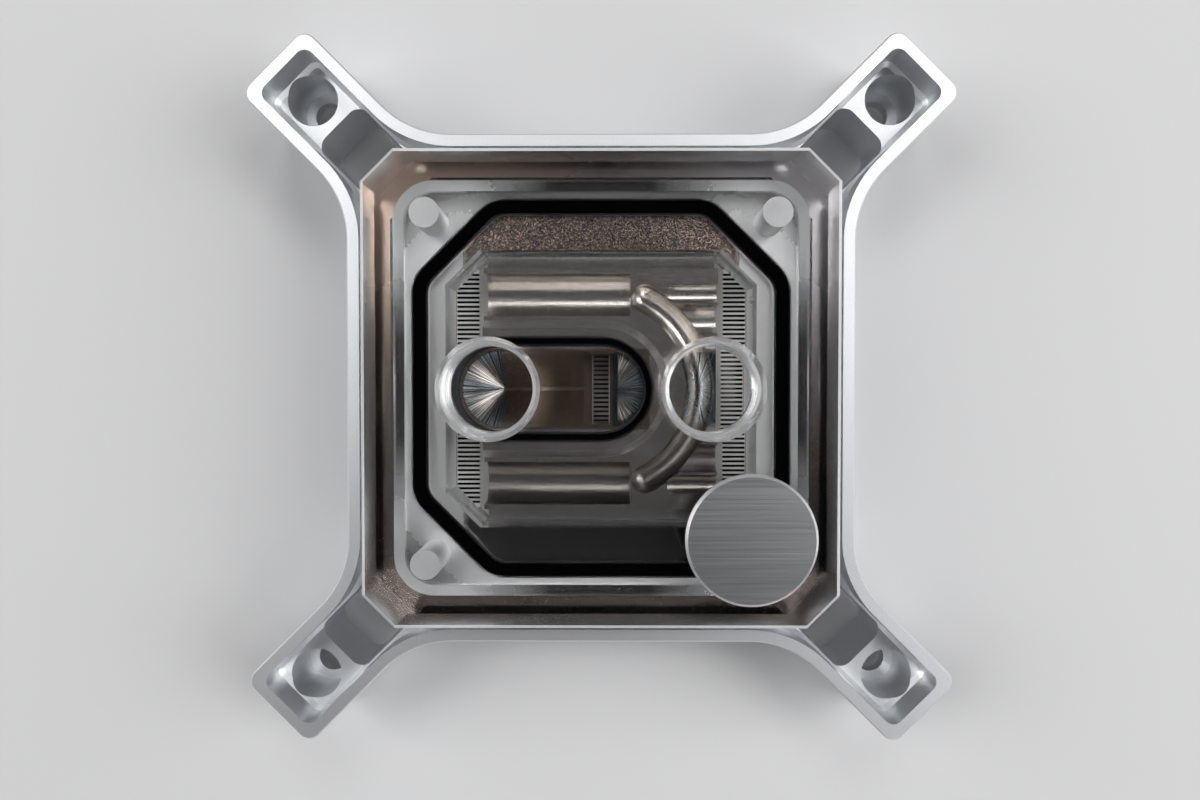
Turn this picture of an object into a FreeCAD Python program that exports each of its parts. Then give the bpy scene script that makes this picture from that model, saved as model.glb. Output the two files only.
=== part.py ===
import FreeCAD, Part
import math
import os

import Sketcher

# CPU water block: a clear top and a finned cold plate, screwed together from below,
# held down by a pocketed aluminium frame with four diagonal legs.
# Millimetres. Z is up, the contact face lies on z = 0, the ports open upwards.

# Driving sizes, one row each, as they stand in the sheet. The block grows outwards from
# its fins: chamber, main seal, relief, top, flange and frame each add a margin.
DRIVING_SIZES = {
    # Fins and chamber
    "finCount": 52,
    "finPitch": 0.65,
    "finGap": 0.33,
    "finLength": 41.1,
    "finFloor": 2.5,           # metal under the fins
    "finHeight": 3.3,
    "finEndGap": 0.2,          # from the fins' ends to the chamber's wall
    "finSideMargin": 1.925,    # from the outermost slot to the chamber's wall
    "cornerGap": 0.5,          # insert's corner to the chamber's cut corner
    # Main seal
    "sealInset": 5.45,         # chamber's wall to the seal's outside
    "mainSealCut": 10.9,
    "mainSealBand": 2.15,
    "mainSealBend": 5.2,
    "mainSealHeight": 1.6,
    "sealBevel": 0.2,
    # Clear top
    "reliefReach": 2.65,       # shallow recess past the main seal
    "reliefRadius": 5.65,      # its corners, round the clamp screws
    "reliefChannel": 1.5,      # the recess's width, up to the island inside it
    "reliefDepth": 1.2,
    "landWidth": 2.15,         # flat rim outside the recess
    "topThickness": 14.6,
    "topCut": 4.2,             # 45 degree corners
    "topBevel": 0.5,
    "flangeLip": 1.0,          # under the frame's ledge
    "flangeThickness": 3.5,
    "ceilingThickness": 6.2,   # material over the chamber
    "portSpacing": 29.2,
    "portDiameter": 11.44,     # tapping bore of a G1/4 thread
    "mouthBevel": 1.08,
    "tapDiameter": 4.0,
    "tapDepth": 10.9,
    # Cold plate
    "plateFlange": 2.4,
    "pedestalWidth": 48.0,
    "headMargin": 1.1,         # pedestal's cut corner to a screw's head
    # Jet plate
    "jetThickness": 0.5,
    "jetLip": 1.5,             # past the insert at each end, and its cut corners
    "jetSlotWidth": 2.2,
    "jetSlotLength": 30.0,
    # Flow insert
    "endSpace": 4.95,          # chamber's wall to the insert's end
    "shoulderStep": 2.05,      # shoulder past the body, each side
    "shoulderHeight": 2.0,
    "landDrop": 1.6,           # land below the chamber's ceiling
    "collarDrop": 0.2,         # collar below the chamber's ceiling
    "collarRadius": 8.2,
    "collarFlare": 1.1,        # slope at the collar's foot
    "tongueThickness": 4.5,
    "channelRadius": 2.9,      # the long ball-milled channels
    "channelInset": 3.55,      # from the body's side to the channel's middle
    "channelFloor": 1.7,       # metal under the long channels
    "channelEnd": 4.0,
    "bendRadius": 13.6,        # the channel round the collar
    "bendToolRadius": 1.9,
    "bendFloor": 2.1,
    "bendHalfAngle": 64.0,
    "sideGrooveStart": 9.0,    # short grooves to the right end, from the centre
    "innerGrooveInset": 6.9,
    "innerGrooveRadius": 1.9,
    "innerGrooveDepth": 2.6,
    "outerGrooveInset": 3.4,
    "outerGrooveRadius": 1.3,
    "outerGrooveDepth": 1.6,
    "troughFloor": 2.7,        # metal under the inlet trough
    "troughTip": 0.25,
    "troughLip": 0.55,         # wall between trough and seal ledge
    "wellHalfWidth": 2.3,
    "wellHalfLength": 4.7,
    "wellFloor": 1.7,
    "slotWidth": 2.5,
    "slotLength": 30.5,
    # Inlet seal
    "inletSealRadius": 7.0,
    "inletSealBand": 1.2,
    "inletSealHeight": 1.3,
    # Frame
    "rimGap": 1.35,            # clear top to the rim's wall
    "frameWall": 1.65,
    "frameHeight": 14.6,       # underside to rim
    "frameLift": 1.4,          # underside above the contact face
    "holeSpacing": 80.0,       # mounting holes, on a square
    "holeDiameter": 4.2,
    "boreDiameter": 7.0,       # spring bore above each mounting hole
    "boreFloor": 1.9,          # metal left under the spring bore
    "legPastHole": 5.23,       # from the hole's middle to the leg's flat end
    "legWidth": 12.2,
    "throatRadius": 13.0,      # outer bend from leg to side
    "tipRadius": 1.8,          # outer corners of a leg's end
    "hollowTipRadius": 1.4,    # inner corners of a leg's end
    "hollowFoot": 0.6,         # slope at the foot of the hollow's wall
    "rimBevel": 0.2,           # broken edges of the rim
    "ribThickness": 1.6,       # inner ledge that bears on the flange
    "windowStep": 0.25,        # between the hollow's wall and a window
    "windowBeforeHole": 4.77,  # from the hole's middle to the window's end
    "windowRadius": 1.8,
    # Clamp screws
    "screwLength": 8.0,
    "screwHead": 7.4,
    "socketAcross": 2.5,
    "socketDepth": 1.6,
    "screwTip": 0.5,
    # Badge
    "badgeDiameter": 17.1,
    "badgeThickness": 0.8,
    "badgeBevel": 0.35,
    "badgeOffset": 19.4,       # from the centre, to the right and down
    "padThickness": 0.15,
    "padMargin": 0.6,
    # Clearances
    "seatGap": 0.1,            # frame's ledge to the top's sides
    "flangeGap": 0.2,          # frame's recess to the flanges
    "insertGap": 0.15,         # insert and plate to the chamber's wall
    "grooveGap": 0.12,         # beside each seal
    "screwGap": 0.25,          # round a screw in the cold plate
    "threadGap": 0.03,         # round a screw in its tapped hole
}

CLOSE = 1e-4
UP = FreeCAD.Vector(0, 0, 1)
DIAGONALS = (45.0, -45.0)
CORNERS = ((1, 1), (-1, 1), (-1, -1), (1, -1))


class Size:
    """A length that knows its number and the sheet formula that gives it."""

    def __init__(self, number, formula):
        self.number = number
        self.formula = formula

    def joined(self, sign, other, number):
        right = other.formula if isinstance(other, Size) else repr(other)
        return Size(number, "(%s %s %s)" % (self.formula, sign, right))

    def __add__(self, other):
        return self.joined("+", other, self.number + plain(other))

    def __sub__(self, other):
        return self.joined("-", other, self.number - plain(other))

    def __mul__(self, other):
        return self.joined("*", other, self.number * plain(other))

    def __truediv__(self, other):
        return self.joined("/", other, self.number / plain(other))

    def __neg__(self):
        return Size(-self.number, "(0 - %s)" % self.formula)


def plain(value):
    """The bare number of a Size or a number."""
    return value.number if isinstance(value, Size) else float(value)


NOTHING = Size(0.0, "0")


def fill_sheet(document):
    """Write the driving sizes into the sheet and return them by name."""
    sheet = document.addObject("Spreadsheet::Sheet", "Sizes")
    named = {}
    for row, (alias, number) in enumerate(DRIVING_SIZES.items(), start=1):
        sheet.set("A%d" % row, alias)
        sheet.set("B%d" % row, str(number))
        sheet.setAlias("B%d" % row, alias)
        named[alias] = Size(float(number), "Sizes." + alias)
    document.recompute()
    return named


doc = FreeCAD.newDocument("CpuWaterBlock")
size = fill_sheet(doc)

# Widths, from the fins outwards
slot_count = size["finCount"] - 1
chamber_length = size["finLength"] + size["finEndGap"] * 2
chamber_width = slot_count * size["finPitch"] + size["finSideMargin"] * 2
chamber_cut = size["endSpace"] + size["insertGap"] - size["cornerGap"]
insert_length = chamber_length - size["endSpace"] * 2
shoulder_width = chamber_width - size["insertGap"] * 2
insert_half_width = shoulder_width / 2 - size["shoulderStep"]
seal_width = chamber_length + size["sealInset"] * 2
relief_width = seal_width + size["reliefReach"] * 2
island_width = relief_width - size["reliefChannel"] * 2
screw_offset = relief_width / 2 - size["reliefRadius"]
top_width = relief_width + size["landWidth"] * 2
flange_width = top_width + size["flangeLip"] * 2
flange_cut = size["topCut"] + size["flangeLip"] * 2
hollow_width = top_width + size["rimGap"] * 2
frame_width = hollow_width + size["frameWall"] * 2
hole_reach = size["holeSpacing"] / 2 * math.sqrt(2)

# Levels, from the contact face upwards
plate_top = size["finFloor"] + size["finHeight"]
plate_flange_under = plate_top - size["plateFlange"]
block_top = plate_top + size["topThickness"]
flange_top = plate_top + size["flangeThickness"]
ceiling = block_top - size["ceilingThickness"]
frame_under = size["frameLift"]
frame_rim = frame_under + size["frameHeight"]
hollow_floor = flange_top + size["ribThickness"]
bore_floor = frame_under + size["boreFloor"]
insert_under = plate_top + size["jetThickness"]
insert_land = ceiling - size["landDrop"]
collar_top = ceiling - size["collarDrop"]
seal_ledge = ceiling - size["inletSealHeight"]

# Centre of the inlet seal's left end, which reaches the chamber's wall; the right one is the Z axis
inlet_left = size["inletSealRadius"] + size["insertGap"] - chamber_length / 2


def bind(item, path, length):
    """Tie one property or sketch dimension to the sheet."""
    if isinstance(length, Size):
        item.setExpression(path, length.formula)


def add_body(label):
    body = doc.addObject("PartDesign::Body", label)
    body.Label = label
    return body


def base_plane(body, role):
    for feature in body.Origin.OriginFeatures:
        if feature.Role == role:
            return feature
    raise ValueError("no plane " + role)


def add_sketch(body, name, level, role="XY_Plane", turn=0.0):
    """A sketch on one of the body's own planes, lifted by level along its normal."""
    sketch = body.newObject("Sketcher::SketchObject", name)
    sketch.AttachmentSupport = (base_plane(body, role), [""])
    sketch.MapMode = "FlatFace"
    lift = FreeCAD.Vector(0, 0, plain(level))
    sketch.AttachmentOffset = FreeCAD.Placement(lift, FreeCAD.Rotation(UP, turn))
    bind(sketch, "AttachmentOffset.Base.z", level)
    return sketch


def dimension(sketch, name, constraint, length):
    """Add one named driving dimension and tie it to the sheet."""
    index = sketch.addConstraint(constraint)
    sketch.renameConstraint(index, name)
    bind(sketch, "Constraints." + name, length)


def closed_lines(sketch, points):
    """Straight edges through the points, closed and joined; returns the first edge's index."""
    first = sketch.GeometryCount
    count = len(points)
    for i in range(count):
        sketch.addGeometry(Part.LineSegment(points[i], points[(i + 1) % count]), False)
    for i in range(count):
        sketch.addConstraint(Sketcher.Constraint("Coincident", first + i, 2, first + (i + 1) % count, 1))
    return first


def rectangle(sketch, name, left, right, low, high):
    """A rectangle between two sides and two ends, each a distance from the origin."""
    x0, x1, y0, y1 = plain(left), plain(right), plain(low), plain(high)
    first = closed_lines(sketch, [FreeCAD.Vector(x0, y0, 0), FreeCAD.Vector(x1, y0, 0),
                                  FreeCAD.Vector(x1, y1, 0), FreeCAD.Vector(x0, y1, 0)])
    for i, way in enumerate(("Horizontal", "Vertical", "Horizontal", "Vertical")):
        sketch.addConstraint(Sketcher.Constraint(way, first + i))
    dimension(sketch, name + "Left", Sketcher.Constraint("DistanceX", -1, 1, first, 1, x0), left)
    dimension(sketch, name + "Low", Sketcher.Constraint("DistanceY", -1, 1, first, 1, y0), low)
    dimension(sketch, name + "Right", Sketcher.Constraint("DistanceX", -1, 1, first + 1, 2, x1), right)
    dimension(sketch, name + "High", Sketcher.Constraint("DistanceY", -1, 1, first + 1, 2, y1), high)


def centred_rectangle(sketch, name, length, width):
    rectangle(sketch, name, -(length / 2), length / 2, -(width / 2), width / 2)


def rounded_rectangle(sketch, name, length, width, radius):
    """A centred rectangle with round corners."""
    x, y, r = plain(length) / 2, plain(width) / 2, plain(radius)
    quarter = math.pi / 2
    sides = [((r - x, -y), (x - r, -y)), ((x, r - y), (x, y - r)),
             ((x - r, y), (r - x, y)), ((-x, y - r), (-x, r - y))]
    centres = [(x - r, r - y), (x - r, y - r), (r - x, y - r), (r - x, r - y)]
    first = sketch.GeometryCount
    for i in range(4):
        (x0, y0), (x1, y1) = sides[i]
        sketch.addGeometry(Part.LineSegment(FreeCAD.Vector(x0, y0, 0), FreeCAD.Vector(x1, y1, 0)), False)
        bend = Part.Circle(FreeCAD.Vector(centres[i][0], centres[i][1], 0), UP, r)
        sketch.addGeometry(Part.ArcOfCircle(bend, (i - 1) * quarter, i * quarter), False)
    for i in range(8):
        sketch.addConstraint(Sketcher.Constraint("Tangent", first + i, 2, first + (i + 1) % 8, 1))
    for i, way in ((0, "Horizontal"), (2, "Vertical"), (4, "Horizontal"), (6, "Vertical")):
        sketch.addConstraint(Sketcher.Constraint(way, first + i))
    for i in (3, 5, 7):
        sketch.addConstraint(Sketcher.Constraint("Equal", first + 1, first + i))
    sketch.addConstraint(Sketcher.Constraint("Symmetric", first, 1, first + 4, 1, -1, 1))
    dimension(sketch, name + "Length",
              Sketcher.Constraint("DistanceX", first + 6, 1, first + 2, 1, 2 * x), length)
    dimension(sketch, name + "Width",
              Sketcher.Constraint("DistanceY", first, 1, first + 4, 1, 2 * y), width)
    dimension(sketch, name + "Radius", Sketcher.Constraint("Radius", first + 1, r), radius)


def cut_square(sketch, name, length, width, cut):
    """A centred rectangle with equal 45 degree corners."""
    x, y, c = plain(length) / 2, plain(width) / 2, plain(cut)
    corners = [(c - x, -y), (x - c, -y), (x, c - y), (x, y - c),
               (x - c, y), (c - x, y), (-x, y - c), (-x, c - y)]
    first = closed_lines(sketch, [FreeCAD.Vector(px, py, 0) for px, py in corners])
    for i, way in ((0, "Horizontal"), (2, "Vertical"), (4, "Horizontal"), (6, "Vertical")):
        sketch.addConstraint(Sketcher.Constraint(way, first + i))
    for i, across, up in ((1, c, c), (3, -c, c), (5, -c, -c), (7, c, -c)):
        edge = first + i
        start, end = (1, 2) if across > 0 else (2, 1)
        dimension(sketch, "%sAcross%d" % (name, i),
                  Sketcher.Constraint("DistanceX", edge, start, edge, end, c), cut)
        start, end = (1, 2) if up > 0 else (2, 1)
        dimension(sketch, "%sUp%d" % (name, i),
                  Sketcher.Constraint("DistanceY", edge, start, edge, end, c), cut)
    dimension(sketch, name + "Length",
              Sketcher.Constraint("DistanceX", first + 6, 1, first + 2, 1, 2 * x), length)
    dimension(sketch, name + "Width",
              Sketcher.Constraint("DistanceY", first, 1, first + 4, 1, 2 * y), width)
    sketch.addConstraint(Sketcher.Constraint("Symmetric", first, 1, first + 4, 1, -1, 1))


def circle(sketch, name, x, y, radius):
    outline = Part.Circle(FreeCAD.Vector(plain(x), plain(y), 0), UP, plain(radius))
    index = sketch.addGeometry(outline, False)
    dimension(sketch, name + "X", Sketcher.Constraint("DistanceX", -1, 1, index, 3, plain(x)), x)
    dimension(sketch, name + "Y", Sketcher.Constraint("DistanceY", -1, 1, index, 3, plain(y)), y)
    dimension(sketch, name + "Radius", Sketcher.Constraint("Radius", index, plain(radius)), radius)


def stadium(sketch, name, left, right, radius):
    """Two half circles about left and right on the X axis, joined by straight sides."""
    x0, x1, r = plain(left), plain(right), plain(radius)
    quarter = math.pi / 2
    first = sketch.GeometryCount
    right_circle = Part.Circle(FreeCAD.Vector(x1, 0, 0), UP, r)
    left_circle = Part.Circle(FreeCAD.Vector(x0, 0, 0), UP, r)
    sketch.addGeometry(Part.ArcOfCircle(right_circle, -quarter, quarter), False)
    sketch.addGeometry(Part.LineSegment(FreeCAD.Vector(x1, r, 0), FreeCAD.Vector(x0, r, 0)), False)
    sketch.addGeometry(Part.ArcOfCircle(left_circle, quarter, 3 * quarter), False)
    sketch.addGeometry(Part.LineSegment(FreeCAD.Vector(x0, -r, 0), FreeCAD.Vector(x1, -r, 0)), False)
    for i in range(4):
        sketch.addConstraint(Sketcher.Constraint("Tangent", first + i, 2, first + (i + 1) % 4, 1))
    sketch.addConstraint(Sketcher.Constraint("PointOnObject", first, 3, -1))
    sketch.addConstraint(Sketcher.Constraint("PointOnObject", first + 2, 3, -1))
    dimension(sketch, name + "Right", Sketcher.Constraint("DistanceX", -1, 1, first, 3, x1), right)
    dimension(sketch, name + "Left", Sketcher.Constraint("DistanceX", -1, 1, first + 2, 3, x0), left)
    dimension(sketch, name + "Radius", Sketcher.Constraint("Radius", first, r), radius)


def half_stadium(sketch, name, left, radius):
    """A straight-sided strip from left to the Z axis that ends in a half circle about it."""
    x0, r = plain(left), plain(radius)
    quarter = math.pi / 2
    points = [FreeCAD.Vector(0, r, 0), FreeCAD.Vector(x0, r, 0),
              FreeCAD.Vector(x0, -r, 0), FreeCAD.Vector(0, -r, 0)]
    first = sketch.GeometryCount
    full = Part.Circle(FreeCAD.Vector(0, 0, 0), UP, r)
    sketch.addGeometry(Part.ArcOfCircle(full, -quarter, quarter), False)
    for i in range(3):
        sketch.addGeometry(Part.LineSegment(points[i], points[i + 1]), False)
    sketch.addConstraint(Sketcher.Constraint("Tangent", first, 2, first + 1, 1))
    sketch.addConstraint(Sketcher.Constraint("Coincident", first + 1, 2, first + 2, 1))
    sketch.addConstraint(Sketcher.Constraint("Coincident", first + 2, 2, first + 3, 1))
    sketch.addConstraint(Sketcher.Constraint("Tangent", first + 3, 2, first, 1))
    sketch.addConstraint(Sketcher.Constraint("Coincident", first, 3, -1, 1))
    sketch.addConstraint(Sketcher.Constraint("Vertical", first + 2))
    sketch.addConstraint(Sketcher.Constraint("Horizontal", first + 1))
    dimension(sketch, name + "Left", Sketcher.Constraint("DistanceX", -1, 1, first + 1, 2, x0), left)
    dimension(sketch, name + "Radius", Sketcher.Constraint("Radius", first, r), radius)


def ball_cut(sketch, name, centre, radius, centre_level, top_level):
    """The outline a ball-nosed cutter leaves: a half circle with upright sides above it."""
    c, r, z, top = plain(centre), plain(radius), plain(centre_level), plain(top_level)
    arc_circle = Part.Circle(FreeCAD.Vector(c, z, 0), UP, r)
    points = [FreeCAD.Vector(c + r, z, 0), FreeCAD.Vector(c + r, top, 0),
              FreeCAD.Vector(c - r, top, 0), FreeCAD.Vector(c - r, z, 0)]
    first = sketch.GeometryCount
    sketch.addGeometry(Part.ArcOfCircle(arc_circle, math.pi, 2 * math.pi), False)
    for i in range(3):
        sketch.addGeometry(Part.LineSegment(points[i], points[i + 1]), False)
    sketch.addConstraint(Sketcher.Constraint("Tangent", first, 2, first + 1, 1))
    sketch.addConstraint(Sketcher.Constraint("Coincident", first + 1, 2, first + 2, 1))
    sketch.addConstraint(Sketcher.Constraint("Coincident", first + 2, 2, first + 3, 1))
    sketch.addConstraint(Sketcher.Constraint("Tangent", first + 3, 2, first, 1))
    sketch.addConstraint(Sketcher.Constraint("Horizontal", first + 2))
    sketch.addConstraint(Sketcher.Constraint("Vertical", first + 1))
    dimension(sketch, name + "Centre", Sketcher.Constraint("DistanceX", -1, 1, first, 3, c), centre)
    dimension(sketch, name + "Level", Sketcher.Constraint("DistanceY", -1, 1, first, 3, z), centre_level)
    dimension(sketch, name + "Top", Sketcher.Constraint("DistanceY", -1, 1, first + 1, 2, top), top_level)
    dimension(sketch, name + "Radius", Sketcher.Constraint("Radius", first, r), radius)


def add_pad(body, sketch, name, height, downward=False):
    pad = body.newObject("PartDesign::Pad", name)
    pad.Profile = sketch
    pad.Reversed = downward
    bind(pad, "Length", height)
    doc.recompute()
    return pad


def add_pocket(body, sketch, name, depth, upward=False):
    """Cut down from the sketch, or up; a pocket that removes nothing is a fault."""
    before = body.Shape.Volume
    pocket = body.newObject("PartDesign::Pocket", name)
    pocket.Profile = sketch
    pocket.Reversed = upward
    bind(pocket, "Length", depth)
    doc.recompute()
    if body.Shape.Volume > before - CLOSE:
        raise ValueError("%s cut nothing from %s" % (name, body.Label))
    return pocket


def add_dressup(body, kind, name, edge_test, path, amount):
    """A fillet or chamfer on every edge of the body that passes the test."""
    base = body.Tip
    edges = ["Edge%d" % (i + 1) for i, edge in enumerate(base.Shape.Edges) if edge_test(edge)]
    if not edges:
        raise ValueError("%s found no edge on %s" % (name, body.Label))
    dressup = body.newObject("PartDesign::" + kind, name)
    dressup.Base = (base, edges)
    bind(dressup, path, amount)
    doc.recompute()
    return dressup


def is_upright(edge):
    start, end = edge.Vertexes[0].Point, edge.Vertexes[-1].Point
    return math.hypot(start.x - end.x, start.y - end.y) < CLOSE and abs(start.z - end.z) > CLOSE


def stands_at(edge, distance):
    """An upright edge at this distance from the block's axis."""
    point = edge.Vertexes[0].Point
    return is_upright(edge) and abs(math.hypot(point.x, point.y) - plain(distance)) < 0.01


def lies_at(edge, level):
    return all(abs(vertex.Point.z - plain(level)) < CLOSE for vertex in edge.Vertexes) \
        and abs(edge.BoundBox.ZMax - edge.BoundBox.ZMin) < CLOSE


def diagonal_distance(half_side, half_width):
    """How far out a leg's side line crosses a straight side of the frame."""
    return math.hypot(plain(half_side) - plain(half_width) * math.sqrt(2), plain(half_side))


def leg_bars(body, name, level, reach, width, depth, cutting, upward=False):
    """Two crossed bars along the diagonals, padded or pocketed."""
    for number, turn in enumerate(DIAGONALS, start=1):
        sketch = add_sketch(body, "%sSketch%d" % (name, number), level, turn=turn)
        centred_rectangle(sketch, "bar", reach * 2, width)
        if cutting:
            add_pocket(body, sketch, "%s%d" % (name, number), depth, upward)
        else:
            add_pad(body, sketch, "%s%d" % (name, number), depth)


# Frame
def make_frame():
    body = add_body("frame")
    leg_reach = hole_reach + size["legPastHole"]
    half_leg = size["legWidth"] / 2
    sketch = add_sketch(body, "FrameSquare", frame_under)
    centred_rectangle(sketch, "side", frame_width, frame_width)
    add_pad(body, sketch, "FramePad", size["frameHeight"])
    leg_bars(body, "FrameLegs", frame_under, leg_reach, size["legWidth"], size["frameHeight"], False)

    throat = diagonal_distance(frame_width / 2, half_leg)
    add_dressup(body, "Fillet", "FrameThroats", lambda edge: stands_at(edge, throat),
                "Radius", size["throatRadius"])
    tip = math.hypot(leg_reach.number, half_leg.number)
    add_dressup(body, "Fillet", "FrameTips", lambda edge: stands_at(edge, tip), "Radius", size["tipRadius"])
    add_dressup(body, "Chamfer", "FrameRimBevel", lambda edge: lies_at(edge, frame_rim),
                "Size", size["rimBevel"])

    # The hollow follows the outline at the wall's distance, down to the leg floors
    hollow_depth = frame_rim - hollow_floor
    hollow_reach = leg_reach - size["frameWall"]
    hollow_leg = size["legWidth"] - size["frameWall"] * 2
    sketch = add_sketch(body, "HollowSquare", frame_rim)
    centred_rectangle(sketch, "hollow", hollow_width, hollow_width)
    add_pocket(body, sketch, "HollowPocket", hollow_depth)
    leg_bars(body, "HollowLegs", frame_rim, hollow_reach, hollow_leg, hollow_depth, True)
    throat = diagonal_distance(hollow_width / 2, hollow_leg / 2)
    add_dressup(body, "Fillet", "HollowThroats", lambda edge: stands_at(edge, throat),
                "Radius", size["throatRadius"] + size["frameWall"])
    tip = math.hypot(hollow_reach.number, hollow_leg.number / 2)
    add_dressup(body, "Fillet", "HollowTips", lambda edge: stands_at(edge, tip),
                "Radius", size["hollowTipRadius"])
    add_dressup(body, "Chamfer", "HollowFoot", lambda edge: lies_at(edge, hollow_floor),
                "Size", size["hollowFoot"])

    # Openings beside the block's corners
    window_reach = hole_reach - size["windowBeforeHole"]
    window_width = hollow_leg - size["windowStep"] * 2
    for number, turn in enumerate(DIAGONALS, start=1):
        sketch = add_sketch(body, "WindowSketch%d" % number, frame_rim, turn=turn)
        rounded_rectangle(sketch, "window", window_reach * 2, window_width, size["windowRadius"])
        add_pocket(body, sketch, "Window%d" % number, size["frameHeight"])

    # The seat passes the clear top; the recess under its ledge takes the flanges
    seat = top_width + size["seatGap"] * 2
    sketch = add_sketch(body, "SeatSketch", hollow_floor)
    centred_rectangle(sketch, "seat", seat, seat)
    add_pocket(body, sketch, "SeatPocket", hollow_floor - frame_under)
    recess = flange_width + size["flangeGap"] * 2
    sketch = add_sketch(body, "RecessSketch", flange_top)
    centred_rectangle(sketch, "recess", recess, recess)
    add_pocket(body, sketch, "RecessPocket", flange_top - frame_under)

    # Mounting holes, each at the foot of a spring bore that cuts into the hollow's sloped foot
    hole = size["holeSpacing"] / 2
    bore_mouth = hollow_floor + size["hollowFoot"]
    for name, level, floor, diameter in (("Bore", bore_mouth, bore_floor, size["boreDiameter"]),
                                         ("Hole", bore_floor, frame_under, size["holeDiameter"])):
        sketch = add_sketch(body, name + "Sketch", level)
        for number, (right, up) in enumerate(CORNERS, start=1):
            circle(sketch, "hole%d" % number, hole * right, hole * up, diameter / 2)
        add_pocket(body, sketch, name + "Pocket", level - floor)
    return body


# Clear top
def make_clear_top():
    body = add_body("clear_top")
    sketch = add_sketch(body, "TopOutline", plate_top)
    cut_square(sketch, "top", top_width, top_width, size["topCut"])
    add_pad(body, sketch, "TopPad", size["topThickness"])
    add_dressup(body, "Chamfer", "TopBevel", lambda edge: lies_at(edge, block_top),
                "Size", size["topBevel"])
    sketch = add_sketch(body, "FlangeOutline", plate_top)
    cut_square(sketch, "flange", flange_width, flange_width, flange_cut)
    add_pad(body, sketch, "FlangePad", size["flangeThickness"])

    # Milled relief channel round the seal and the clamp screws
    relief_top = plate_top + size["reliefDepth"]
    sketch = add_sketch(body, "ReliefSketch", relief_top)
    rounded_rectangle(sketch, "relief", relief_width, relief_width, size["reliefRadius"])
    rounded_rectangle(sketch, "island", island_width, island_width,
                      size["reliefRadius"] - size["reliefChannel"])
    add_pocket(body, sketch, "ReliefPocket", size["reliefDepth"])

    # Groove for the main seal
    sketch = add_sketch(body, "GrooveSketch", plate_top + size["mainSealHeight"])
    seal_ring(sketch, size["grooveGap"])
    add_pocket(body, sketch, "GroovePocket", size["mainSealHeight"])
    round_seal_bends(body, "Groove", size["grooveGap"])

    # Water chamber and the two ports into it
    sketch = add_sketch(body, "ChamberSketch", ceiling)
    cut_square(sketch, "chamber", chamber_length, chamber_width, chamber_cut)
    add_pocket(body, sketch, "ChamberPocket", ceiling - plate_top)
    sketch = add_sketch(body, "PortSketch", block_top)
    for side, name in ((-1, "inlet"), (1, "outlet")):
        circle(sketch, name, size["portSpacing"] / 2 * side, 0, size["portDiameter"] / 2)
    add_pocket(body, sketch, "PortPocket", size["ceilingThickness"])
    add_dressup(body, "Chamfer", "PortMouths",
                lambda edge: lies_at(edge, block_top) and len(edge.Vertexes) == 1,
                "Size", size["mouthBevel"])

    # Blind tapped holes for the clamp screws
    sketch = add_sketch(body, "TapSketch", plate_top + size["tapDepth"])
    for number, (right, up) in enumerate(CORNERS, start=1):
        circle(sketch, "tap%d" % number, screw_offset * right, screw_offset * up, size["tapDiameter"] / 2)
    add_pocket(body, sketch, "TapPocket", size["tapDepth"])
    return body


# Main seal
def ring_outline(sketch, name, offset):
    """The main seal's outer outline, set off outwards, or inwards where offset is negative."""
    width = seal_width + offset * 2
    cut = size["mainSealCut"] + offset * (2 - math.sqrt(2))
    cut_square(sketch, name, width, width, cut)


def seal_ring(sketch, gap):
    """The seal's outer and inner outlines, each set off by gap."""
    ring_outline(sketch, "outer", gap)
    ring_outline(sketch, "inner", -(size["mainSealBand"] + gap))


def round_seal_bends(body, name, gap):
    """Bend the ring's upright corners: wide outside, narrower inside."""
    for side, offset in (("Outer", gap), ("Inner", -(size["mainSealBand"] + gap))):
        half = seal_width.number / 2 + offset.number
        cut = size["mainSealCut"].number + offset.number * (2 - math.sqrt(2))
        corner = math.hypot(half, half - cut)
        add_dressup(body, "Fillet", name + side + "Bends", lambda edge: stands_at(edge, corner),
                    "Radius", size["mainSealBend"] + offset)


def make_main_seal():
    body = add_body("main_seal")
    sketch = add_sketch(body, "SealSketch", plate_top)
    seal_ring(sketch, NOTHING)
    add_pad(body, sketch, "SealPad", size["mainSealHeight"])
    round_seal_bends(body, "Seal", NOTHING)
    seal_top = plate_top + size["mainSealHeight"]
    add_dressup(body, "Chamfer", "SealBevels",
                lambda edge: lies_at(edge, plate_top) or lies_at(edge, seal_top), "Size", size["sealBevel"])
    return body


# Inlet seal
def make_inlet_seal():
    body = add_body("inlet_seal")
    sketch = add_sketch(body, "InletSealSketch", seal_ledge)
    stadium(sketch, "outer", inlet_left, NOTHING, size["inletSealRadius"])
    stadium(sketch, "inner", inlet_left, NOTHING, size["inletSealRadius"] - size["inletSealBand"])
    add_pad(body, sketch, "InletSealPad", size["inletSealHeight"])
    add_dressup(body, "Chamfer", "InletSealBevels",
                lambda edge: lies_at(edge, seal_ledge) or lies_at(edge, ceiling), "Size", size["sealBevel"])
    return body


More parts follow.
